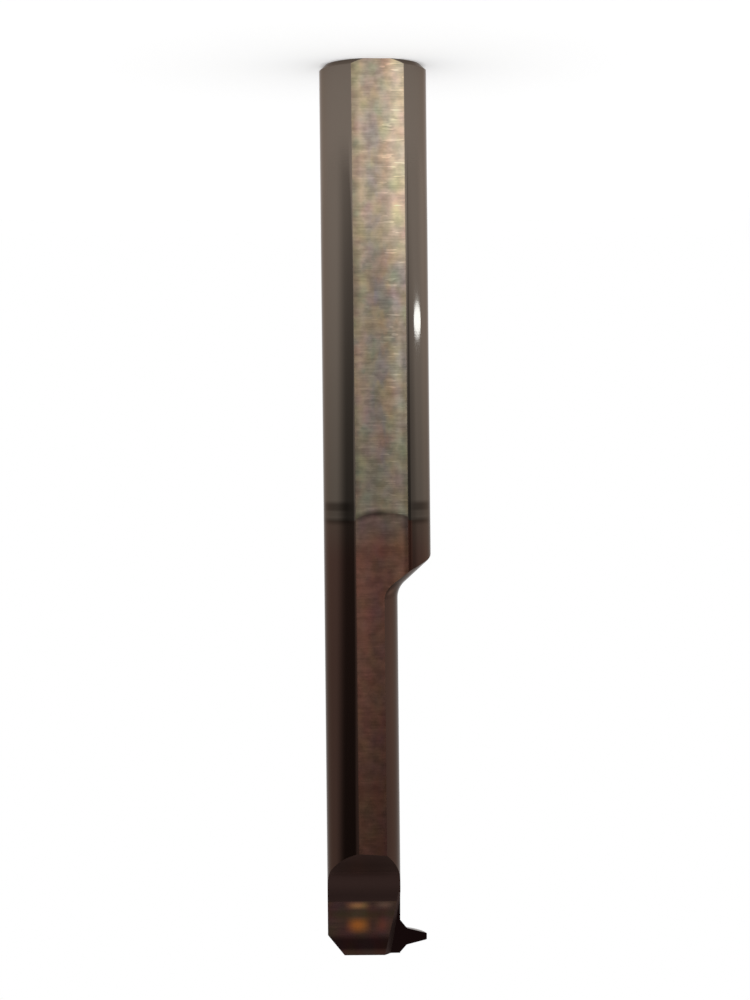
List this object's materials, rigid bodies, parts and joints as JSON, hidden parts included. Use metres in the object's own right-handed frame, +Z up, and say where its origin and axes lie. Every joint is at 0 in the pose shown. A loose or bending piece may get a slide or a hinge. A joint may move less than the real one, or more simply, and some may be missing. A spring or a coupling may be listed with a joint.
{
  "type": "mini boring bar",
  "caption": "One-piece solid carbide mini boring bar: round shank with one long flat, coated relieved neck and a trapezoidal thread tooth at its tip.",
  "frame": {"origin": "centre of the flat tail face, on the axis of the round shank", "axes": "+Z up the bar's axis from the tail to the cutting end; the long flat and the rake face look along -Y; the tooth points along -X"},
  "size_m": [0.006, 0.0056, 0.05],
  "materials": {
    "carbide": "satin"
  },
  "bodies": {
    "root": {"boring_bar": "carbide"}
  },
  "joints": []
}
